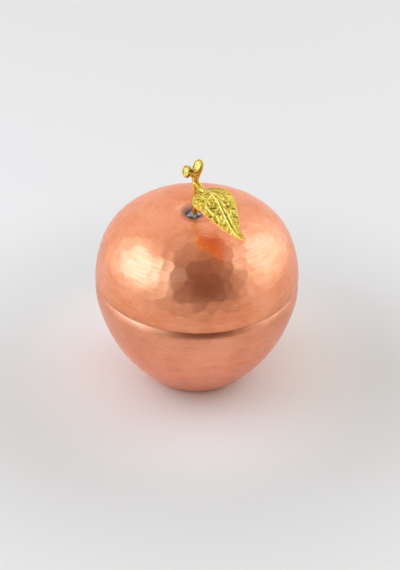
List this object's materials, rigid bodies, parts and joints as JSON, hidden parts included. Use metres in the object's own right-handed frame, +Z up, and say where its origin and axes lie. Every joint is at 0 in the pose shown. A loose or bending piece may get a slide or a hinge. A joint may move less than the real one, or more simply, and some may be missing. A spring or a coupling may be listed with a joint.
{
  "type": "spice box",
  "caption": "Apple-shaped copper spice box: a smooth spun bowl, a hammered domed lid that lifts off a hidden collar, and a cast brass stem and leaf.",
  "frame": {"origin": "on the axis of the box, on the surface it stands on", "axes": "+Z up along the box's axis; the leaf points to -Y and +X, the front and right"},
  "size_m": [0.09, 0.09, 0.1085],
  "materials": {
    "spun_copper": "satin, finely brushed round the axis; tinned inside",
    "hammered_copper": "satin over soft round hammer marks; tinned inside",
    "collar_copper": "satin",
    "stem_brass": "cast, satin",
    "leaf_brass": "cast, bright on the veins and dark in the hollows",
    "solder": "grey, uneven"
  },
  "bodies": {
    "box": {"bowl": "spun_copper", "collar": "collar_copper", "collar_solder": "solder"},
    "lid": {"lid": "hammered_copper", "stem": "stem_brass", "leaf": "leaf_brass", "stem_solder": "solder", "stem_solder_inside": "solder"}
  },
  "joints": [
    {"name": "lid_lift", "type": "slide", "parent": "box", "child": "lid", "axis": [0, 0, 1], "range_m": [0, 0.06]}
  ]
}
